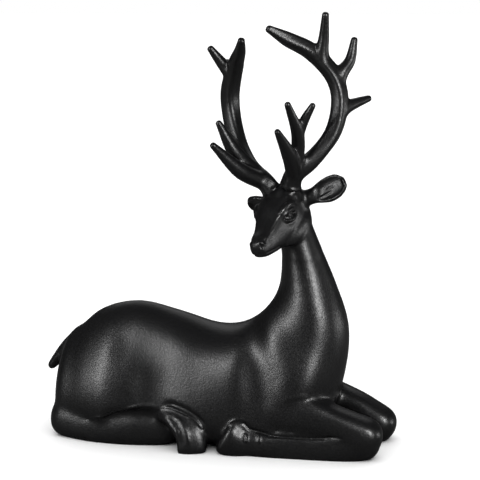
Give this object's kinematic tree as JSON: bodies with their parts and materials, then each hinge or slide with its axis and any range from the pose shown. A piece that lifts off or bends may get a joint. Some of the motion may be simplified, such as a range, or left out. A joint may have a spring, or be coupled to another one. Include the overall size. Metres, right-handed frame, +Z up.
{
  "type": "cast iron stag statue",
  "caption": "Lying stag statue in black-painted cast iron, legs folded, head turned to its right, branched antlers; a table or mantel ornament that stands on its flat underside.",
  "frame": {"origin": "on the flat underside, on the body's middle plane, about halfway along the trunk", "axes": "+X towards the stag's knees, +Y towards its left flank, +Z up; the head is turned to its right, -Y"},
  "size_m": [0.2613, 0.1032, 0.3071],
  "materials": {
    "black_cast_iron": "satin black paint over a fine sand-cast grain"
  },
  "bodies": {
    "root": {"stag_body": "black_cast_iron", "left_antler": "black_cast_iron", "right_antler": "black_cast_iron"}
  },
  "joints": []
}
